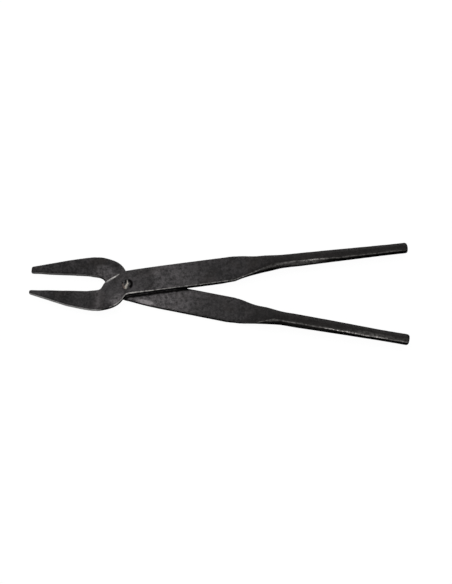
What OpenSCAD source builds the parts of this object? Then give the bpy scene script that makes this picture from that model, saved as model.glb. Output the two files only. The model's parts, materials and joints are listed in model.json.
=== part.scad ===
// Hand-forged lever tongs: two crossing halves turning on one hammered rivet.
// Each half is a single bar, left round for the handle, flattened for the
// blade and tapered for the jaw. The origin is where the rivet's axis meets
// the plane the tongs lie on. +X runs towards the handles and +Z is up.
// The halves are made by hand and differ a little: in the modules below, way
// is 1 for the upper half and -1 for the lower one.

/* [Blades] */
// Width of the flat blade
blade_w = 26.4; // [25:0.2:28]
// Thickness of the flat blade
blade_t = 5.45; // [4.5:0.05:6.5]
// Distance from the rivet to the end of the flat blade
blade_l = 110; // [104:1:114]
// Distance from the rivet to the blade's outer edge
outer_edge = 15.8; // [15:0.1:17]
// Angle that each blade stands off the long axis at rest
half_angle = 10; // [7:0.5:14]
// Gap between the two halves where they cross
face_gap = 0.1; // [0.05:0.05:0.3]

/* [Jaws] */
// Distance from the rivet to the jaw tips
jaw_l = 101.8; // [95:0.2:110]
// Depth of the jaw's belly below the rivet
jaw_belly = 24.8; // [23:0.2:26]
// Rise of the jaw's inner edge above the rivet at the tip
jaw_rise = 7.8; // [6:0.1:9]
// Height of the lower half's blunt tip
lower_tip_h = 6; // [3:0.1:7]
// Height of the upper half's sharper tip
upper_tip_h = 3; // [2.5:0.1:6]
// Sideways offset between the two jaws, each way
jaw_set = 1.3; // [0:0.1:1.5]
// Offset between the two throats along the blade, each way
throat_set = 0.9; // [0:0.1:1.5]

/* [Handles] */
// Distance from the rivet to the handles' blunt ends
handle_l = 298.6; // [280:0.2:320]
// How far the two handles' lengths differ, each way
length_set = 0.4; // [0:0.1:2]
// Diameter of the handle at its root
root_d = 14.7; // [14:0.1:15]
// Diameter of the parallel stretch at the handle's end
end_d = 11.1; // [10:0.1:12]
// Length of that parallel stretch
grip_l = 20; // [10:1:60]
// Sideways place of the handle's root
root_y = 3.5; // [3:0.1:4.5]
// Sideways offset between the two handles' roots, each way
handle_set = 0.7; // [0:0.1:1.5]

/* [Rivet] */
// Diameter of the shank
shank_d = 8; // [7:0.1:9]
// Diameter of the hammered head
head_d = 12; // [11:0.1:14]
// Height of the head's dome above the blade
head_h = 1.3; // [0.8:0.1:2]
// Running gap all round the shank in the upper half
bore_gap = 0.05; // [0.02:0.01:0.1]

/* [Hidden] */
// The rivet, its bores and the handles are true rounds.
$fn = 64;

// Each half is drawn with its blade along +X and its mating face at z = 0.
inner_edge = outer_edge - blade_w;
stack_h = 2 * blade_t + face_gap;
stock = 40;
beyond = handle_l + 20;
overcut = 1;

// The boss is the rounded shoulder round the rivet, between blade and jaw.
boss = [-20, 6.9];
shoulder_y = outer_edge - 1.1;
shoulder_set = 0.5;
shoulder_l = 38;

// The jaws step to the middle of the stack, so that they close edge to edge.
joggle_x = [-42, -28];
joggle_z = -(blade_t + face_gap) / 2;

// The neck is where the flat blade is drawn into the round handle. The mating
// face is flat as far as neck_x[0], and the handle is round from neck_x[1] on.
// The neck leans sideways, towards the lower handle in both halves.
neck_x = [122, 164];
neck_slack = 0.35;
neck_set = 2.4;
neck_lean = 0.35;
neck_r = 16.5;
root_r = root_d / 2;

// The handle's axis turns in a little from the blade, and lies handle_z above
// the plane the tongs lie on.
handle_turn = -1.4;
turn_set = 0.2;
handle_lift = 0.3;
handle_z = root_r + neck_slack + handle_lift;
end_dome = 2.6;

// The tail is hammered into a countersink and stays just off the bench.
seat_h = 1.2;
tail_d = 11;
tail_recess = 0.2;

// Points of a cubic Bezier curve, leaving out its last one
function curve(p, q, r, s, n = 10) = [
    for (i = [0 : n - 1])
        let (t = i / n, u = 1 - t)
            u^3 * p + 3 * u^2 * t * q + 3 * u * t^2 * r + t^3 * s
];

// Angle of the handle's axis to its blade, and its sideways place at x
function axis_turn(way) = handle_turn + way * turn_set;
function axis_y(x, way) = root_y + way * handle_set + (x - neck_x[1]) * tan(axis_turn(way));

// Seen from above, the jaw from the boss round the tip to the crotch, where
// it meets the blade's inner edge
function jaw_outline(tip_h, way) =
    let (
        side = [0, way * jaw_set],
        throat = [-24.6, 0.2] + side - [way * throat_set, 0],
        throat_floor = [-31, -3.4] + side,
        jaw_root = [-46, -1.7] + side,
        tip = [-jaw_l, jaw_rise] + side,
        cheek = [-66, -13.5] + side,
        belly = [-30, -jaw_belly] + side,
        flank = [-7, -16.2] + side,
        crotch = [2, inner_edge + 0.3]
    )
    concat(
        curve(boss, boss - [2.6, 1.3], throat + [1.3, 2.2], throat, 4),
        curve(throat, throat - [1.6, 2.4], throat_floor + [2.8, 0], throat_floor, 6),
        [throat_floor, jaw_root, tip, tip - [0.8, tip_h]],
        curve(cheek, cheek + [12, -4.5], belly - [8, -0.3], belly),
        curve(belly, belly + [11, 0], flank - [5, 6.2], flank),
        curve(flank, flank + [3, 3.7], crotch - [4.5, 0.1], crotch, 6),
        [crotch]
    );

// Seen from above, the blade from its inner edge out along the handle and
// back round the shoulder to the boss. In front of the neck it is wider than
// the round handle.
function blade_outline(way) =
    let (
        x = neck_x[1],
        mid_y = axis_y(x, way) - way * neck_lean,
        inner = [x, mid_y - root_r],
        outer = [x, mid_y + root_r],
        along = (beyond - x) * [1, tan(axis_turn(way))],
        inner_end = [blade_l - 4, inner_edge],
        outer_end = [blade_l, outer_edge],
        shoulder = [1, shoulder_y + way * shoulder_set]
    )
    concat(
        curve(inner_end, inner_end + [22, 0], inner - [26, 0.2 + 0.6 * way * neck_set], inner),
        [inner, inner + along, outer + along],
        curve(outer, outer - [24, way * neck_set - 0.8], outer_end + [16, -0.8], outer_end),
        [outer_end],
        curve([shoulder_l, outer_edge], [shoulder_l / 2, outer_edge], shoulder + [7, 0], shoulder, 6),
        curve(shoulder, shoulder - [5, 0.6], boss + [7, 3.4], boss, 6)
    );

// Seen from the side: the jaw's joggle, the flat blade and the thickening neck
module side_outline(axis_z) {
    x = neck_x[1];
    low = [x, axis_z - root_r - neck_slack];
    high = [x, axis_z + root_r + neck_slack];
    past_tip = -jaw_l - 10;
    face_end = [neck_x[0], 0];
    back_end = [blade_l, blade_t];
    polygon(concat(
        [[past_tip, joggle_z], [joggle_x[0], joggle_z], [joggle_x[1], 0]],
        curve(face_end, face_end + [14, 0], low - [16, 0], low),
        [low, [beyond, low.y], [beyond, high.y]],
        curve(high, high - [16, 0], back_end + [18, 0], back_end),
        [back_end, [joggle_x[1], blade_t]],
        [[joggle_x[0], joggle_z + blade_t], [past_tip, joggle_z + blade_t]]
    ));
}

// The round that the handle is drawn to, opening out towards the blade
module handle_round(way) {
    x = neck_x[1];
    start_x = -2 * jaw_l - x;
    end_x = handle_l - way * length_set - end_dome - x;
    end_r = end_d / 2;
    neck = [root_r, 0];
    wide = [neck_r, blade_l - x];
    rim = [end_r, end_x];
    crown = [0, end_x + end_dome];
    rotate([0, 90, 0])
        rotate_extrude()
            polygon(concat(
                [[0, start_x], [stock, start_x], [stock, wide.y]],
                curve(wide, [0.65 * neck_r, wide.y + 22], neck + [0.95, -14], neck, 12),
                [neck, rim - [0, grip_l]],
                curve(rim, rim + [0, 0.7 * end_dome], crown + [0.9 * end_r, 0], crown, 6),
                [crown]
            ));
}

// One half, lying on its mating face
module half(tip_h, way, axis_z) {
    intersection() {
        translate([0, 0, -stock / 2])
            linear_extrude(height = stock)
                polygon(concat(blade_outline(way), jaw_outline(tip_h, way)));
        rotate([90, 0, 0])
            translate([0, 0, -3 * stock])
                linear_extrude(height = 6 * stock)
                    side_outline(axis_z);
        translate([neck_x[1], axis_y(neck_x[1], way), axis_z])
            rotate([0, 0, axis_turn(way)])
                handle_round(way);
    }
}

module lower_half() {
    color([0.17, 0.17, 0.17])
        difference() {
            translate([0, 0, blade_t])
                rotate([180, 0, 0])
                    rotate([0, 0, half_angle])
                        half(lower_tip_h, -1, blade_t - handle_z);
            translate([0, 0, -overcut])
                cylinder(d = shank_d, h = blade_t + 2 * overcut);
            tail_seat();
        }
}

module upper_half() {
    color([0.2, 0.2, 0.2])
        difference() {
            translate([0, 0, blade_t + face_gap])
                rotate([0, 0, half_angle])
                    half(upper_tip_h, 1, handle_z - blade_t - face_gap);
            translate([0, 0, blade_t - overcut])
                cylinder(d = shank_d + 2 * bore_gap, h = blade_t + face_gap + 2 * overcut);
            head_seat();
        }
}

// Countersink that the tail is hammered into, open through the underside
module tail_seat() {
    translate([0, 0, -seat_h])
        cylinder(d1 = 2 * tail_d - shank_d, d2 = shank_d, h = 2 * seat_h);
}

// Shallow seat of the head in the upper half, with its running gap
module head_seat() {
    gap = 2 * bore_gap;
    translate([0, 0, stack_h - seat_h])
        cylinder(d1 = shank_d + gap, d2 = 2 * head_d - shank_d + gap, h = 2 * seat_h);
}

// Shank, flush tail and low domed head, all round one axis
module pivot_rivet() {
    shank_r = shank_d / 2;
    tail_r = tail_d / 2 - tail_recess * (tail_d - shank_d) / 2 / seat_h;
    head_r = head_d / 2;
    rim = [head_r, stack_h + head_h / 5];
    crown = [0, stack_h + head_h];
    color([0.34, 0.31, 0.3])
        rotate_extrude()
            polygon(concat(
                [[0, tail_recess], [tail_r, tail_recess], [shank_r, seat_h]],
                [[shank_r, stack_h - seat_h], [head_r, stack_h]],
                curve(rim, [0.95 * head_r, stack_h + 0.7 * head_h], crown + [head_r / 2, 0], crown, 8),
                [crown]
            ));
}

lower_half();
upper_half();
pivot_rivet();
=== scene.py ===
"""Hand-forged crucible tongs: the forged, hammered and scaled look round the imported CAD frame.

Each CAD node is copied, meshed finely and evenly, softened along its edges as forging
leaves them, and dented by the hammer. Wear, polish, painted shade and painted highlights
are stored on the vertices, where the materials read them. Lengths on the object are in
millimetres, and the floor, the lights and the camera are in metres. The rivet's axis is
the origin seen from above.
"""
import json
import math

import bpy
import numpy as np
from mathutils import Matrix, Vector, noise


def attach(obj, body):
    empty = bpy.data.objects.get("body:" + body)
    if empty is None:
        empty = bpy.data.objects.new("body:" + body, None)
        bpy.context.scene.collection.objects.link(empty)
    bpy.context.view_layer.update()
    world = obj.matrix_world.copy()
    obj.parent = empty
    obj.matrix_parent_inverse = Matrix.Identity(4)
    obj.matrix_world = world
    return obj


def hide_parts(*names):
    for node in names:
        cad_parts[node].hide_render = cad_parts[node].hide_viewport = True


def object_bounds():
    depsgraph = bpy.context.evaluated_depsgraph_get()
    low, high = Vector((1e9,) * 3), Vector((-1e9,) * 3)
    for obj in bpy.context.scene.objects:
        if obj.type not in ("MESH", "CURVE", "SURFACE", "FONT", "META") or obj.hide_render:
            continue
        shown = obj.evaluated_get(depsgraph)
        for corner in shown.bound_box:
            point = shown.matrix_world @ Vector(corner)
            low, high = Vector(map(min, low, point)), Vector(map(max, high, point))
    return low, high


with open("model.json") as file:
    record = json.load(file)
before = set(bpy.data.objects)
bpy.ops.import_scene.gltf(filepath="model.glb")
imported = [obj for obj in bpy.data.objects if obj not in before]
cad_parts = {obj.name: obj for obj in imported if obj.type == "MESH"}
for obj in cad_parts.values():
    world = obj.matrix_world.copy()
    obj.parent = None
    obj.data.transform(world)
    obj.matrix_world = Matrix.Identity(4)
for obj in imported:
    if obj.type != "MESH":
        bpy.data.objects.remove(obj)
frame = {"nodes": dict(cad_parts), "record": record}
cad_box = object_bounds()

MM = 0.001
RECORD = frame["record"]
# Where the rivet's axis crosses the mating faces
PIVOT = np.array(RECORD["behaviour"]["joints"][0]["pos_m"]) / MM
STACK_TOP = 2 * PIVOT[2]

HALF_CELL = 0.5
RIVET_CELL = 0.14
WELD_GAP = 0.002


# ---------------------------------------------------------------- dense meshes

def dense_copy(node, name, cell):
    """A new object with an even mesh of about cell mm over the shape of a CAD node."""
    mesh = frame["nodes"][node].data.copy()
    rough = bpy.data.objects.new(name + "_rough", mesh)
    bpy.context.scene.collection.objects.link(rough)
    weld = rough.modifiers.new("weld", "WELD")
    weld.merge_threshold = WELD_GAP * MM
    remesh = rough.modifiers.new("remesh", "REMESH")
    remesh.mode = "VOXEL"
    remesh.voxel_size = cell * MM
    remesh.use_smooth_shade = True
    depsgraph = bpy.context.evaluated_depsgraph_get()
    dense = bpy.data.meshes.new_from_object(rough.evaluated_get(depsgraph), depsgraph=depsgraph)
    bpy.data.objects.remove(rough)
    dense.materials.clear()
    dense.name = name
    piece = bpy.data.objects.new(name, dense)
    bpy.context.scene.collection.objects.link(piece)
    return piece


def read_points(piece):
    """The piece's vertices in millimetres."""
    points = np.empty(len(piece.data.vertices) * 3, np.float32)
    piece.data.vertices.foreach_get("co", points)
    return points.reshape(-1, 3).astype(float) / MM


def write_points(piece, points):
    """Puts millimetre points back into the piece's mesh."""
    piece.data.vertices.foreach_set("co", (points * MM).astype(np.float32).ravel())
    piece.data.update()


def read_normals(piece):
    """The unit normal of each vertex."""
    normals = np.empty(len(piece.data.vertices) * 3, np.float32)
    piece.data.vertex_normals.foreach_get("vector", normals)
    return normals.reshape(-1, 3).astype(float)


def read_edges(piece):
    """The two vertices of each edge."""
    edges = np.empty(len(piece.data.edges) * 2, np.int32)
    piece.data.edges.foreach_get("vertices", edges)
    return edges.reshape(-1, 2)


def neighbour_mean(values, edges):
    """Each vertex's mean over its neighbours."""
    total = np.zeros_like(values)
    count = np.zeros(len(values))
    for a, b in ((0, 1), (1, 0)):
        np.add.at(total, edges[:, a], values[edges[:, b]])
        np.add.at(count, edges[:, a], 1)
    return total / count.reshape((-1,) + (1,) * (values.ndim - 1))


def soften(points, edges, times, share=0.5):
    """Moves each point a share of the way to its neighbours' mean, a number of times."""
    for _ in range(times):
        points = points + share * (neighbour_mean(points, edges) - points)
    return points


def within_reach(points, start, reach):
    """Pulls each point back until it is no farther than reach from where it started."""
    shift = points - start
    distance = np.linalg.norm(shift, axis=1)
    return start + shift * np.minimum(1, reach / np.maximum(distance, 1e-9))[:, None]


def paint(piece, name, values):
    """Stores one number or one vector per vertex for the materials to read."""
    kind = "FLOAT" if values.ndim == 1 else "FLOAT_VECTOR"
    field = "value" if values.ndim == 1 else "vector"
    layer = piece.data.attributes.new(name, kind, "POINT")
    layer.data.foreach_set(field, values.astype(np.float32).ravel())


def shade_smooth(piece):
    """Shades every face smoothly."""
    for polygon in piece.data.polygons:
        polygon.use_smooth = True


# ---------------------------------------------------------------- noise, ramps and places

# Increment, spacing and number of the octaves of the wandering noise
OCTAVES = (0.6, 2.0, 2)


def wander(points, size, seed):
    """Smooth noise from about -1 to 1 at each point, with features of about size mm."""
    offset = Vector((17.3 * seed, -9.1 * seed, 4.7 * seed))
    return np.array([noise.fractal(Vector(p) / size + offset, *OCTAVES) for p in points])


def step(x, low, high):
    """0 below low, 1 above high and smooth between."""
    t = np.clip((x - low) / (high - low), 0, 1)
    return t * t * (3 - 2 * t)


def between(x, rise_from, rise_to, fall_from, fall_to):
    """1 between rise_to and fall_from, 0 outside the whole stretch and smooth at both ends."""
    return step(x, rise_from, rise_to) * (1 - step(x, fall_from, fall_to))


def spot(points, centre, radii, turn):
    """1 at the centre of an oval seen from above and 0 outside it."""
    c, s = math.cos(math.radians(turn)), math.sin(math.radians(turn))
    x, y = points[:, 0] - centre[0], points[:, 1] - centre[1]
    d = np.hypot((x * c + y * s) / radii[0], (y * c - x * s) / radii[1])
    return 1 - step(d, 0.45, 1.0)


def near_line(points, start, end):
    """Distance from a short line seen from above."""
    start, end = np.array(start), np.array(end)
    run = end - start
    share = np.clip(((points[:, :2] - start) @ run) / (run @ run), 0, 1)
    return np.linalg.norm(points[:, :2] - start - share[:, None] * run, axis=1)


# How much of a normal has to point up, or to the front, for a face to begin to count and to
# count in full: as level either way up, as a top, as a top edge, as steep (from full to
# none), as leaning to the front and as looking to the front
LEVEL = (0.6, 0.95)
TOP = (0.6, 0.9)
TOP_EDGE = (0.5, 0.8)
STEEP = (0.3, 0.6)
LEANS = (0.1, 0.4)
LOOKS = (0.5, 0.8)


def to_front(normals, low, high):
    """0 to 1: how far each point's surface turns towards the front, -Y."""
    return step(-normals[:, 1], low, high)


# ---------------------------------------------------------------- the shape of a half

# Stretches of a half, by distance from the rivet along it: where the handle's flats begin
# and are full, and where the neck begins, is full, fades and ends
HANDLE = (150.0, 172.0)
NECK = (112.0, 128.0, 160.0, 185.0)

# Flats hammered along the handle: degrees round it from the top towards the front, and how
# deep, as a share of the radius. The first two lie on either side of the ridge, and follow it.
FLATS = ((-27, 0.07), (27, 0.07), (120, 0.04), (170, 0.04), (215, 0.04), (262, 0.03), (302, 0.05))
RIDGE_FLATS = 2
FLAT_SHARPNESS = 34
# Where that ridge lies, as distance from the rivet and degrees
UPPER_RIDGE = ((160, 20), (200, 28), (226, 44), (300, 44))
LOWER_RIDGE = ((160, 36), (200, 38), (240, 48), (262, 50), (300, 44))
# The flats are drawn from stations this far apart, from a margin before the handle begins
STATION_GAP = 2.0
STATION_MARGIN = 10
# A flat wanders round the handle by so many degrees, and its depth varies by a share from
# blow to blow and by another over a longer stretch, each with its length
FLAT_DRIFT = (4.0, 45.0)
BLOW_SHARE = (0.5, 11.0)
HEAT_SHARE = (0.3, 40.0)

# Passes that round the edges off, that smooth the neck and that follow at the end, and how far
# the first two may move a point
EDGE_PASSES = 12
NECK_PASSES = 120
LAST_PASSES = 2
EDGE_REACH = 0.35
NECK_REACH = 1.1

# Hammer marks on the flat faces: how many on each half, how deep and how far across
DENT_COUNT = 260
DENT_DEPTH = 0.2
DENT_SIZE = 8.0
DENT_STRETCH = 1.3
# The unevenness of the scale: how deep and how wide
SCALE_DEPTH = 0.025
SCALE_SIZE = 3.0
# From none to all of this roughness, by distance from the rivet's axis
ROUGH_FROM_RIVET = (7.0, 11.0)

# How far the sides spread under the hammer along the blade and jaw, along the handle, and
# at the back of the shoulder where the neck begins, with its place and length
EDGE_GAIN = 0.7
HANDLE_GAIN = 0.45
SHOULDER_GAIN = 0.65
SHOULDER = 121.0
SHOULDER_LENGTH = 9.0
# Where the burr lies along the blade's front edge, and how high it reaches off the mating face
BURR = (42, 64, 95, 110)
BURR_HEIGHT = (1.5, 4.0)
UPPER_BURR = 0.8
LOWER_BURR = 0.0
# How unevenly the sides spread, and over what length
SWAY = 0.12
SWAY_LENGTH = 26.0
# The jaw's last stretch along -X, whose inner face spreads less by a share, so that the tips
# can meet, and how far a normal has to point inward for that
TIP = (82.0, 93.0)
TIP_SHARE = 0.7
INNER_FACE = (0.3, 0.7)


class Bar:
    """The axes of one half: along its handle, across it to the outer edge, and up off its mating face.

    front turns a distance across the bar into one towards the front, -Y, and inward is the
    way that the inner face of the jaw looks.
    """

    def __init__(self, mount_name, up):
        mount = next(m for m in RECORD["mounts"] if m["name"] == mount_name)
        self.up = np.array([0.0, 0.0, up])
        self.along = np.array(mount["axis"], float)
        self.across = np.cross(self.up, self.along)
        self.front = -np.sign(self.across[1])
        self.inward = np.array([0.0, -self.front, 0.0])
        grip = np.array(mount["pos_m"], float) / MM
        self.axis_across = float((grip - PIVOT) @ self.across)
        self.axis_up = float((grip - PIVOT) @ self.up)

    def split(self, points):
        """Points as distances along, across and up from the rivet at the mating face."""
        d = points - PIVOT
        return np.stack([d @ self.along, d @ self.across, d @ self.up], axis=1)

    def join(self, local):
        """The opposite of split."""
        return PIVOT + local @ np.stack([self.along, self.across, self.up])


def soften_half(start, edges, along):
    """Rounds every edge off, and smooths the neck between the flat blade and the round handle."""
    neck = between(along, *NECK)
    points = soften(start, edges, EDGE_PASSES)
    points = soften(points, edges, NECK_PASSES, 0.5 * neck[:, None])
    level = within_reach(points * (1, 1, 0), start * (1, 1, 0), EDGE_REACH)
    points = within_reach(points, start, EDGE_REACH + (NECK_REACH - EDGE_REACH) * neck)
    points[:, :2] = level[:, :2]
    return soften(points, edges, LAST_PASSES)


def hammer_handle(local, bar, ridge, seed):
    """Draws the round handle out into soft, wandering flats."""
    along = local[:, 0]
    ahead = (local[:, 1] - bar.axis_across) * bar.front
    rise = (local[:, 2] - bar.axis_up) * bar.up[2]
    angle = np.degrees(np.arctan2(ahead, rise))
    stations = np.arange(HANDLE[0] - STATION_MARGIN, along.max() + STATION_MARGIN, STATION_GAP)
    ridge_at = np.interp(stations, *np.transpose(ridge))
    total = np.ones(len(local))
    for k, (centre, depth) in enumerate(FLATS):
        line = np.array([[s, 100.0 * k, 0.0] for s in stations])
        drift = FLAT_DRIFT[0] * wander(line, FLAT_DRIFT[1], seed + k)
        if k < RIDGE_FLATS:
            drift += ridge_at
        blows = BLOW_SHARE[0] * wander(line, BLOW_SHARE[1], seed + 20 + k)
        heats = HEAT_SHARE[0] * wander(line, HEAT_SHARE[1], seed + 40 + k)
        bite = depth * (1 + blows + heats)
        turn = np.radians(angle - centre - np.interp(along, stations, drift))
        reach = np.maximum(np.cos(turn), 0) / (1 - np.interp(along, stations, bite))
        total += reach ** FLAT_SHARPNESS
    scale = 1 - step(along, *HANDLE) * (1 - total ** (-1 / FLAT_SHARPNESS))
    out = local.copy()
    out[:, 1] = bar.axis_across + ahead * scale * bar.front
    out[:, 2] = bar.axis_up + rise * scale * bar.up[2]
    return out


def hammer_dents(local, lift, seed):
    """How far each point is driven in by round hammer marks on the flat faces."""
    rng = np.random.default_rng(seed)
    low, high = local.min(0), local.max(0)
    sunk = np.zeros(len(local))
    for _ in range(DENT_COUNT):
        centre = rng.uniform(low[:2], high[:2])
        side = rng.choice([-1.0, 1.0])
        radius = DENT_SIZE * rng.uniform(0.6, 1.4)
        drop = DENT_DEPTH * rng.uniform(0.3, 1.0)
        d2 = ((local[:, 0] - centre[0]) / DENT_STRETCH) ** 2 + (local[:, 1] - centre[1]) ** 2
        near = (d2 < radius ** 2) & (np.sign(lift) == side)
        sunk[near] = np.maximum(sunk[near], drop * (1 - d2[near] / radius ** 2) ** 1.5)
    return sunk * step(np.abs(lift), *LEVEL)


def side_gain(points, along, height, normals, bar, burr):
    """How far each point's side spreads under the hammer."""
    gain = EDGE_GAIN + (HANDLE_GAIN - EDGE_GAIN) * step(along, *HANDLE)
    shoulder = np.exp(-((along - SHOULDER) / SHOULDER_LENGTH) ** 2)
    gain += SHOULDER_GAIN * shoulder * (normals[:, 1] > 0)
    by_mating_face = 1 - step(height, *BURR_HEIGHT)
    gain += burr * between(along, *BURR) * by_mating_face * (normals[:, 1] < 0)
    return gain


def forge_half(node, name, bar, ridge, burr, marks, seed):
    """One half as a dense forged piece with its painted wear, painted shade and painted highlights.

    burr is how far the blade's front edge spreads by the mating face.
    """
    piece = dense_copy(node, name, HALF_CELL)
    edges = read_edges(piece)
    start = read_points(piece)
    along = bar.split(start)[:, 0]
    local = hammer_handle(bar.split(soften_half(start, edges, along)), bar, ridge, seed)
    points = bar.join(local)
    write_points(piece, points)
    normals = read_normals(piece)
    lift = normals @ bar.up
    rough = step(np.hypot(local[:, 0], local[:, 1]), *ROUGH_FROM_RIVET)
    sunk = hammer_dents(local, lift, seed + 3) * rough
    sunk += SCALE_DEPTH * (1 + wander(points, SCALE_SIZE, seed + 5)) * rough
    points = points - normals * sunk[:, None]
    closing = step(-points[:, 0], *TIP) * step(normals @ bar.inward, *INNER_FACE)
    gain = side_gain(points, along, local[:, 2], normals, bar, burr)
    gain += SWAY * wander(points, SWAY_LENGTH, seed + 7) * rough
    sideways = normals * (1, 1, 0) * np.sqrt(1 - np.clip(np.abs(lift), 0, 1))[:, None]
    points = points + sideways * (gain * (1 - TIP_SHARE * closing))[:, None]
    write_points(piece, points)
    paint_half(piece, edges, points, local, along, bar, marks)
    shade_smooth(piece)
    return piece


# ---------------------------------------------------------------- wear, painted shade and painted highlights on the halves

# Stretches over which the rubbed tops come and go, by distance from the rivet: the upper
# half's blade and boss, and the lower half's top where the upper one sweeps it
BLADE_RUB = (24, 32)
BLADE_FADE = (52, 84)
BLADE_END = (84, 130)
BOSS_RUB = (18, 44)
SWEPT_FADE = (42, 96)
SWEPT_END = (96, 140)
# The same by distance along X: where that sweep begins, and the upper half's worn front edge,
# which is brightest round the crotch and carries a painted highlight where it faces the front
SWEPT_FROM = (-14, 4)
CROTCH_WEAR_AND_GLINT = (-19, -14, 14, 40)
FRONT_WEAR_AND_GLINT = (-19, -14, 150, 180)
# The same by distance along -X: the ground front side of each jaw, whose pale grey is a painted
# reflection
UPPER_GROUND_AND_REFLECTION = (22, 32)
LOWER_GROUND_AND_REFLECTION = (26, 36)
# The same by distance from a line: the worn rim of the throat, and the painted shadow in the corner
# where the upper half shades the lower one
RIM_WEAR = (1.5, 4.0)
CORNER_SHADOW = (0.8, 1.9)
CORNER_SHADOW_SHARE = 0.92
# Ovals seen from above, as centre, radii and turn in degrees
JAW_ROOT = ((-10.5, -16.5), (11.0, 5.5), 45)
SCRAPED = ((20.3, -18.6), (11.5, 4.6), -14)
LOWER_THROAT = ((-24.0, 12.0), (16.0, 14.0), 0)
# Lines seen from above: the upper half's rim at the back of its throat, and, for the painted shadow on
# the lower half, the front of the upper half's edge at rest, round the crotch and along the blade
THROAT_RIM = ((-22, 3.5), (-11.5, 10.0))
CROTCH_LINE = ((-2.8, -14.2), (3.7, -11.7))
BLADE_LINE = ((3.7, -11.7), (106.2, 6.4))
# Where the upper jaw's joggle lies along X, and how far the lighter band over it reaches
JOGGLE = -30.0
JOGGLE_WIDTH = 3.0
# How glossy hands have made each handle, and how strong the painted highlight on its ridge is, by
# distance from the rivet
UPPER_POLISH_AND_GLINT = (
    (130, 0), (165, 0.25), (186, 0.35), (192, 0.85),
    (206, 0.85), (214, 0.25), (260, 0.3), (290, 0.25),
)
LOWER_POLISH_AND_GLINT = ((120, 0), (145, 0.3), (200, 0.4), (222, 1), (266, 1), (280, 0.45))
# Tilt of the handles' faces that get the painted highlight, from the top towards the front, and its
# spread: at this tilt they mirror the front strip light into the camera
GLINT_TILT = 39.0
GLINT_SPREAD = 13
# A trace of wear on every upper edge of the lower half
LOWER_WEAR = 0.04
# How far an edge stands out where its wear is full, and the passes that it is measured against
EDGE_BULGE = 0.12
BULGE_PASSES = 7
# Where the handle's browner scale begins and is full
BROWN = (118, 165)


def upper_marks(points, local, normals):
    """How rubbed, worn, ground, glossy and painted in shadow each point of the upper half is, 0 to about
    1.
    """
    x, y, along = points[:, 0], points[:, 1], local[:, 0]
    ragged = 2.0 * wander(points, 5.0, 71)
    blade = step(along + ragged, *BLADE_RUB) * (1 - 0.75 * step(along, *BLADE_FADE))
    blade = blade * (1 - step(along, *BLADE_END))
    joggle = np.exp(-((x - JOGGLE + 0.7 * ragged) / JOGGLE_WIDTH) ** 2) * (y < 0)
    boss = 1 - step(np.hypot(x, y) + ragged, *BOSS_RUB)
    # The jaw root's spot and the joggle's band are only made lighter. The blade and boss are rubbed.
    rub = 0.16 * blade + 0.22 * spot(points, *JAW_ROOT) + 0.13 * joggle + 0.08 * boss
    # Worn front edge, partly painted highlight: only edges leaning to the front, towards the front strip
    # light, take the bright steel.
    front = (0.55 + 1.6 * between(x, *CROTCH_WEAR_AND_GLINT)) * between(x, *FRONT_WEAR_AND_GLINT) * to_front(normals, *LEANS)
    rim = 1.2 * (1 - step(near_line(points, *THROAT_RIM), *RIM_WEAR))
    # Ground steel, partly painted reflection: only the jaw side facing the front is painted pale grey,
    # for the white it would mirror.
    ground_and_reflection = step(-x, *UPPER_GROUND_AND_REFLECTION) * to_front(normals, *LOOKS)
    gloss = np.interp(along, *np.transpose(UPPER_POLISH_AND_GLINT))
    return rub, np.maximum(front, rim), ground_and_reflection, gloss, np.zeros(len(points))


def lower_marks(points, local, normals):
    """The same for the lower half, whose top the upper one sweeps, with one scraped spot and a painted
    shadow beside the upper half's front edge at rest.
    """
    x, y, along = points[:, 0], points[:, 1], local[:, 0]
    distance = np.hypot(x, y) + 4 * wander(points, 9.0, 73)
    swept = 1 - 0.8 * step(distance, *SWEPT_FADE) - 0.2 * step(distance, *SWEPT_END)
    swept = swept * step(x, *SWEPT_FROM)
    rub = 0.29 * swept + 1.4 * spot(points, *SCRAPED) + 0.19 * spot(points, *LOWER_THROAT)
    worn_and_glinting = np.full(len(points), LOWER_WEAR)
    # The same painted reflection, fainter
    ground_and_reflection = 0.35 * step(-x, *LOWER_GROUND_AND_REFLECTION) * to_front(normals, *LOOKS)
    gloss = np.interp(along, *np.transpose(LOWER_POLISH_AND_GLINT))
    # Painted shadow: near-black on the lower half's top beside the upper half's front edge at rest,
    # where that edge shades it.
    corner = np.minimum(near_line(points, *CROTCH_LINE), near_line(points, *BLADE_LINE))
    corner += 0.5 * wander(points, 4.0, 75)
    painted_shade = (1 - step(corner, *CORNER_SHADOW)) * step(normals[:, 2], 0.5, 0.9)
    return rub, worn_and_glinting, ground_and_reflection, gloss, painted_shade


def top_edges(edges, points, normals):
    """0 to 1: how strongly a point stands out as an upper edge."""
    bulge = np.einsum("ij,ij->i", points - soften(points, edges, BULGE_PASSES), normals)
    return np.clip(bulge / EDGE_BULGE, 0, 1) * step(normals[:, 2], *TOP_EDGE)


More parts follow.
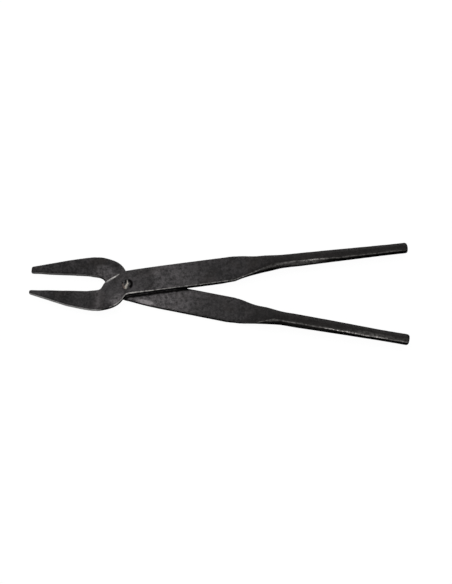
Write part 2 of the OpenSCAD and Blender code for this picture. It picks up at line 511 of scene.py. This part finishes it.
def paint_half(piece, edges, points, local, along, bar, marks):
    """Stores a half's marks, each only on the faces that take it, and painted shade on its steep front
    sides.
    """
    normals = read_normals(piece)
    rub, worn_and_glinting, ground_and_reflection, gloss, painted_shade = marks(points, local, normals)
    tilt = np.degrees(np.arctan2(-normals[:, 1], normals[:, 2]))
    # Painted shade: steep faces that lean to the front, turned away from the lights behind, are painted
    # near-black. This covers the blade sides and the handles' lower fronts alike.
    shaded_front = (1 - step(normals[:, 2], *STEEP)) * to_front(normals, *LEANS)
    paint(piece, "rub", rub * step(normals[:, 2], *TOP))
    paint(piece, "wear_and_glint", worn_and_glinting * top_edges(edges, points, normals))
    paint(piece, "ground_and_reflection", ground_and_reflection * (1 - step(np.abs(normals[:, 2]), *LEVEL)))
    # Painted highlight, partly real burnish: bright steel goes only on faces tilted to mirror the front
    # strip light into the camera.
    paint(piece, "shine", gloss * np.exp(-((tilt - GLINT_TILT) / GLINT_SPREAD) ** 2))
    paint(piece, "painted_shade", np.maximum(shaded_front * (1 - ground_and_reflection), CORNER_SHADOW_SHARE * painted_shade))
    paint(piece, "handle", step(along, *BROWN))
    paint(piece, "bar", bar.split(points))


# ---------------------------------------------------------------- the rivet

# Blows round the head, as place and depth, and the square of how far they spread
BLOWS = (
    (3.9, 0.6, 0.7), (2.8, 3.4, 0.45), (-2.4, 3.6, 0.5),
    (-4.4, 0.8, 0.5), (3.4, -3.0, 0.5), (-3.0, -2.6, 0.3),
)
BLOW_SPREAD = 3.0
RIVET_PASSES = 8
PITTING = 0.06
# Lines on the head seen from above: the two runs of the scraped stroke, which is wider towards
# the front, the smear beside it and two nicks painted dark as shade
STROKE = (((0.0, 3.2), (0.6, 0.2)), ((0.4, 0.2), (-1.9, -4.6)))
SMEAR = ((-4.5, -0.6), (-3.3, -4.0))
LONG_NICK = ((-1.5, 4.2), (-2.0, 1.2))
SHORT_NICK = ((-4.9, 1.4), (-5.0, 0.2))
# The hollow beside the head's rim, painted black on one side as the shadow in its gap: its radius, and
# the bearings between which it lies
HOLLOW_RADIUS = 4.7
HOLLOW = (-62, -45, 70, 90)


def forge_rivet():
    """The rivet with its head peened into facets and scraped bare down the middle."""
    piece = dense_copy("pivot_rivet", "rivet", RIVET_CELL)
    points = soften(read_points(piece), read_edges(piece), RIVET_PASSES)
    head = step(points[:, 2], STACK_TOP, STACK_TOP + 0.6)
    for x, y, drop in BLOWS:
        d2 = (points[:, 0] - x) ** 2 + (points[:, 1] - y) ** 2
        points[:, 2] -= head * drop * np.exp(-d2 / BLOW_SPREAD)
    points[:, 2] += head * PITTING * wander(points, 1.2, 5)
    write_points(piece, points)
    paint_rivet(piece, points)
    shade_smooth(piece)
    return piece


def paint_rivet(piece, points):
    """Stores where the head is scraped bare, smeared pink and painted dark as shade and shadow."""
    ragged = 0.5 * wander(points, 1.6, 9)
    on_top = step(points[:, 2], STACK_TOP - 0.2, STACK_TOP + 0.3)
    width = 0.8 + 0.16 * np.clip(-points[:, 1], -2, 5)
    stroke = np.minimum(near_line(points, *STROKE[0]), near_line(points, *STROKE[1])) + ragged
    smear = near_line(points, *SMEAR) + ragged
    bare = np.maximum(1 - step(stroke / width, 0.5, 1.5), 0.3 * (1 - step(smear, 0.3, 1.5)))
    # Painted shadow: a near-black crescent beside the head's rim, on one side only.
    ring = np.abs(np.hypot(points[:, 0], points[:, 1]) - HOLLOW_RADIUS) + 0.6 * ragged
    bearing = np.degrees(np.arctan2(points[:, 1], points[:, 0]))
    hollow = (1 - step(ring, 1.0, 1.9)) * between(bearing, *HOLLOW)
    # Painted shade: two near-black nicks on the head.
    long_nick = 1 - step(near_line(points, *LONG_NICK) + 0.6 * ragged, 0.6, 1.3)
    short_nick = 1 - step(near_line(points, *SHORT_NICK) + 0.6 * ragged, 0.3, 1.0)
    paint(piece, "bare", bare * on_top)
    paint(piece, "pink", 1 - step(smear, 0.6, 1.8))
    paint(piece, "painted_shade", np.maximum(hollow, 0.9 * np.maximum(long_nick, short_nick)))
    paint(piece, "bar", points - PIVOT)


# ---------------------------------------------------------------- materials

class Nodes:
    """A short way to write a node tree."""

    def __init__(self, name):
        self.material = bpy.data.materials.new(name)
        self.material.use_nodes = True
        self.tree = self.material.node_tree
        self.shader = self.tree.nodes["Principled BSDF"]

    def add(self, kind, **settings):
        made = self.tree.nodes.new(kind)
        for key, value in settings.items():
            setattr(made, key, value)
        return made

    def link(self, source, target):
        self.tree.links.new(source, target)

    def attribute(self, name, field="Fac"):
        """What paint() stored under this name."""
        return self.add("ShaderNodeAttribute", attribute_name=name).outputs[field]

    def noise(self, size, detail=4.0, roughness=0.55, seed=0.0):
        """Noise with features of about size mm, fixed to the piece, mostly between 0.3 and 0.7."""
        mapping = self.add("ShaderNodeMapping")
        self.link(self.attribute("bar", "Vector"), mapping.inputs["Vector"])
        mapping.inputs["Scale"].default_value = [1 / size] * 3
        mapping.inputs["Location"].default_value = (seed, seed * 0.7, -seed)
        made = self.add("ShaderNodeTexNoise")
        made.inputs["Scale"].default_value = 1.0
        made.inputs["Detail"].default_value = detail
        made.inputs["Roughness"].default_value = roughness
        self.link(mapping.outputs["Vector"], made.inputs["Vector"])
        return made.outputs["Fac"]

    def ramp(self, source, low, high, a=0.0, b=1.0):
        """Runs from a to b as the source goes from low to high, and stops there."""
        made = self.add("ShaderNodeMapRange", clamp=True)
        made.inputs["From Min"].default_value = low
        made.inputs["From Max"].default_value = high
        made.inputs["To Min"].default_value = a
        made.inputs["To Max"].default_value = b
        self.link(source, made.inputs["Value"])
        return made.outputs["Result"]

    def math(self, operation, *values):
        made = self.add("ShaderNodeMath", operation=operation)
        for socket, value in zip(made.inputs, values):
            if isinstance(value, (int, float)):
                socket.default_value = value
            else:
                self.link(value, socket)
        return made.outputs["Value"]

    def mix(self, share, a, b):
        """Colour a where the share is 0 and colour b where it is 1."""
        made = self.add("ShaderNodeMix", data_type="RGBA")
        self.link(share, made.inputs["Factor"])
        for name, value in (("A", a), ("B", b)):
            socket = [s for s in made.inputs if s.name == name and s.type == "RGBA"][0]
            if isinstance(value, tuple):
                socket.default_value = value + (1.0,)
            else:
                self.link(value, socket)
        return [s for s in made.outputs if s.type == "RGBA"][0]


SCALE_BLACK = (0.0063, 0.0057, 0.006)
SCALE_GREY = (0.0425, 0.039, 0.0405)
SCALE_BROWN = (0.022, 0.0165, 0.014)
HANDLE_BLACK = (0.0072, 0.0063, 0.006)
HANDLE_BROWN = (0.018, 0.0152, 0.0145)
RUBBED_GREY = (0.325, 0.302, 0.31)
# Painted shade and shadow: near-black for the steep front sides and the lower half's corner
PAINTED_SHADE_BLACK = (0.0022, 0.0021, 0.0021)
# Burnished steel, painted as a highlight on the handles' ridges
BURNISHED_GLINT = (0.8, 0.765, 0.73)
# Painted reflection on the ground jaw sides
GROUND_REFLECTION_GREY = (0.8, 0.785, 0.77)
# Worn edges, brighter where they face the front as a painted highlight
WORN_STEEL_AND_GLINT = (0.62, 0.6, 0.58)

HEAD_BLACK = (0.016, 0.0155, 0.0158)
HEAD_GREY = (0.05, 0.048, 0.048)
# Painted shade and shadow on the rivet's head
HEAD_PAINTED_SHADE = (0.0012, 0.0012, 0.0012)
SCRAPED_STEEL = (0.48, 0.45, 0.4)
PINKISH = (0.3, 0.205, 0.175)


def scale_colour(n, seed):
    """Mottled black scale, rusty in patches, that turns darker and browner on the handle."""
    grain = n.ramp(n.noise(2.3, 2.0, 0.6, seed=seed + 21), 0.36, 0.64)
    mottle = n.ramp(n.noise(7.0, 6.0, 0.62, seed=seed), 0.36, 0.66)
    broad = n.ramp(n.noise(28.0, 2.0, seed=seed + 2), 0.35, 0.65)
    tone = n.math("MULTIPLY_ADD", grain, 0.4, n.math("MULTIPLY", mottle, 0.4))
    tone = n.ramp(n.math("MULTIPLY_ADD", broad, 0.2, tone), 0.25, 0.8)
    blade = n.mix(tone, SCALE_BLACK, SCALE_GREY)
    rust = n.ramp(n.noise(20.0, 4.0, seed=seed + 4), 0.52, 0.7, 0.0, 0.55)
    blade = n.mix(rust, blade, SCALE_BROWN)
    handle = n.mix(tone, HANDLE_BLACK, HANDLE_BROWN)
    return n.mix(n.attribute("handle"), blade, handle)


def scale_relief(n, seed):
    """The scale's fine pitting, as a surface normal."""
    bump = n.add("ShaderNodeBump")
    bump.inputs["Strength"].default_value = 0.5
    bump.inputs["Distance"].default_value = 0.14 * MM
    n.link(n.noise(1.6, 5.0, 0.6, seed=seed + 17), bump.inputs["Height"])
    return bump.outputs["Normal"]


def forge_scale(name, seed):
    """Forge scale with its rubbed places, painted shade, ground sides with a painted reflection, and
    worn edges and burnished ridges with painted highlights.
    """
    n = Nodes(name)
    painted_shade = n.attribute("painted_shade")
    patchy = n.ramp(n.noise(3.8, 5.0, 0.75, seed=seed + 8), 0.38, 0.64, 0.1, 1.8)
    rubbed = n.math("MULTIPLY", n.attribute("rub"), patchy)
    ground_and_reflection = n.math("MULTIPLY", n.attribute("ground_and_reflection"), n.ramp(patchy, 0.1, 1.8, 0.5, 1.0))
    broken = n.ramp(n.noise(5.0, 4.0, 0.65, seed=seed + 9), 0.4, 0.58, 0.15, 1.0)
    worn_and_glinting = n.math("MULTIPLY", n.ramp(n.attribute("wear_and_glint"), 0.08, 0.7), broken)
    glow = n.ramp(n.noise(3.0, 4.0, 0.7, seed=seed + 15), 0.38, 0.6, 0.12, 0.9)
    shine = n.math("MULTIPLY", n.attribute("shine"), glow)

    colour = n.mix(rubbed, scale_colour(n, seed), RUBBED_GREY)
    # Painted shade and shadow turn near-black here. The pale ground side, and the bright worn edges and
    # ridges below, are partly painted light.
    colour = n.mix(painted_shade, colour, PAINTED_SHADE_BLACK)
    colour = n.mix(ground_and_reflection, colour, GROUND_REFLECTION_GREY)
    colour = n.mix(worn_and_glinting, colour, WORN_STEEL_AND_GLINT)
    # Painted highlight on the handles' ridges
    colour = n.mix(shine, colour, BURNISHED_GLINT)
    metal = n.math("MAXIMUM", n.math("MULTIPLY", worn_and_glinting, 0.6), shine)
    gloss = n.math("MULTIPLY", n.ramp(shine, 0.0, 1.0, 0.18, 0.8), n.ramp(painted_shade, 0.0, 1.0, 1.0, 0.15))
    rough = n.ramp(n.noise(4.0, 4.0, seed=seed + 13), 0.3, 0.7, 0.42, 0.62)
    rough = n.math("MULTIPLY", rough, n.ramp(n.attribute("shine"), 0.0, 1.0, 1.0, 0.4))

    n.link(colour, n.shader.inputs["Base Color"])
    n.link(metal, n.shader.inputs["Metallic"])
    n.link(gloss, n.shader.inputs["Specular IOR Level"])
    n.link(rough, n.shader.inputs["Roughness"])
    n.link(scale_relief(n, seed), n.shader.inputs["Normal"])
    return n.material


def rivet_steel():
    """Scale, scraped through to bare steel in a stroke down the head, with painted shade and shadow in
    its hollows.
    """
    n = Nodes("rivet_steel")
    painted_shade = n.attribute("painted_shade")
    speckle = n.ramp(n.noise(1.3, 4.0, 0.6, seed=3.0), 0.3, 0.6, 0.45, 1.0)
    bare = n.math("MULTIPLY", n.attribute("bare"), speckle)
    steel = n.mix(n.attribute("pink"), SCRAPED_STEEL, PINKISH)
    scale = n.mix(n.ramp(n.noise(1.6, 4.0, seed=5.0), 0.35, 0.65), HEAD_BLACK, HEAD_GREY)
    # Painted shade and shadow go near-black
    scale = n.mix(painted_shade, scale, HEAD_PAINTED_SHADE)
    n.link(n.mix(bare, scale, steel), n.shader.inputs["Base Color"])
    n.link(n.math("MULTIPLY", bare, 0.4), n.shader.inputs["Metallic"])
    n.shader.inputs["Roughness"].default_value = 0.45
    n.link(n.ramp(painted_shade, 0.0, 1.0, 0.3, 0.03), n.shader.inputs["Specular IOR Level"])
    return n.material


# ---------------------------------------------------------------- the object

UPPER = Bar("upper_handle_end", 1)
LOWER = Bar("lower_handle_end", -1)

upper = forge_half("upper_half", "upper_forging", UPPER, UPPER_RIDGE, UPPER_BURR, upper_marks, 11)
lower = forge_half("lower_half", "lower_forging", LOWER, LOWER_RIDGE, LOWER_BURR, lower_marks, 37)
rivet = forge_rivet()
for piece, node, body, slot, material in (
    (upper, "upper_half", "upper_lever", "upper_scale", forge_scale("upper_scale", 2.0)),
    (lower, "lower_half", "lower_lever", "lower_scale", forge_scale("lower_scale", 31.0)),
    (rivet, "pivot_rivet", "lower_lever", "rivet_steel", rivet_steel()),
):
    piece.data.materials.append(material)
    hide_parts(node)
    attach(piece, body)


# ---------------------------------------------------------------- stage, light and camera

CENTRE = (cad_box[0] + cad_box[1]) / 2
FLOOR_SIZE = 60.0
FLOOR_GREY = (0.08, 0.08, 0.08, 1)
FLOOR_GLOW = 0.96
WORLD_GLOW = 0.04
# Name, azimuth (0 is the front, -Y), elevation, distance, size and watts
LIGHTS = (
    ("left_box", -128, 52, 1.5, (1.3, 1.0), 6),
    ("right_box", 128, 52, 1.5, (1.3, 1.0), 4),
    ("top_box", 0, 80, 1.5, (1.2, 0.7), 2.2),
    ("back_box", 180, 58, 1.6, (1.6, 0.8), 3.5),
    ("front_strip", 0, 34, 1.5, (1.8, 0.42), 5.9),
    ("rear_strip", 180, 12, 1.6, (1.8, 0.4), 8),
)
# The view from high over the front, a touch from the handles' side. It aims a little off
# the object's centre, by so many millimetres.
VIEW_AZIMUTH = 2.0
VIEW_ELEVATION = 68.0
VIEW_DISTANCE = 1.7
VIEW_OFFSET = (7.23, -4.135, -2.304)
LENS = 100
SENSOR = 36


def lay_floor():
    """A plain pale floor. Only the camera sees it bright, so the steel doesn't mirror it."""
    bpy.ops.mesh.primitive_plane_add(size=FLOOR_SIZE)
    floor = bpy.context.object
    floor.name = "floor"
    n = Nodes("pale_floor")
    n.shader.inputs["Base Color"].default_value = FLOOR_GREY
    n.shader.inputs["Roughness"].default_value = 1.0
    n.shader.inputs["Specular IOR Level"].default_value = 0.0
    n.shader.inputs["Emission Color"].default_value = (1, 1, 1, 1)
    seen = n.add("ShaderNodeLightPath").outputs["Is Camera Ray"]
    n.link(n.math("MULTIPLY", seen, FLOOR_GLOW), n.shader.inputs["Emission Strength"])
    floor.data.materials.append(n.material)


def light_world():
    """A faint white light from all sides."""
    world = bpy.data.worlds.new("studio")
    world.use_nodes = True
    background = world.node_tree.nodes["Background"]
    background.inputs["Color"].default_value = (1, 1, 1, 1)
    background.inputs["Strength"].default_value = WORLD_GLOW
    bpy.context.scene.world = world


def place(data, name, aim, azimuth, elevation, distance):
    """Puts a light or camera at an azimuth and elevation from the aim, looking at it."""
    a, e = math.radians(azimuth), math.radians(elevation)
    back = Vector((math.sin(a) * math.cos(e), -math.cos(a) * math.cos(e), math.sin(e)))
    placed = bpy.data.objects.new(name, data)
    placed.location = aim + back * distance
    placed.rotation_mode = "QUATERNION"
    placed.rotation_quaternion = back.to_track_quat("Z", "Y")
    bpy.context.scene.collection.objects.link(placed)
    return placed


def add_light(name, azimuth, elevation, distance, size, power):
    """A rectangular studio light that looks at the object's centre."""
    data = bpy.data.lights.new(name, "AREA")
    data.shape = "RECTANGLE"
    data.size, data.size_y = size
    data.energy = power
    place(data, name, CENTRE, azimuth, elevation, distance)


def add_camera():
    """The camera that the renders use."""
    data = bpy.data.cameras.new("camera")
    data.lens = LENS
    data.sensor_width = SENSOR
    aim = CENTRE + Vector(VIEW_OFFSET) * MM
    bpy.context.scene.camera = place(data, "camera", aim, VIEW_AZIMUTH, VIEW_ELEVATION, VIEW_DISTANCE)


bpy.context.scene.view_settings.view_transform = "Standard"
light_world()
lay_floor()
for light in LIGHTS:
    add_light(*light)
add_camera()
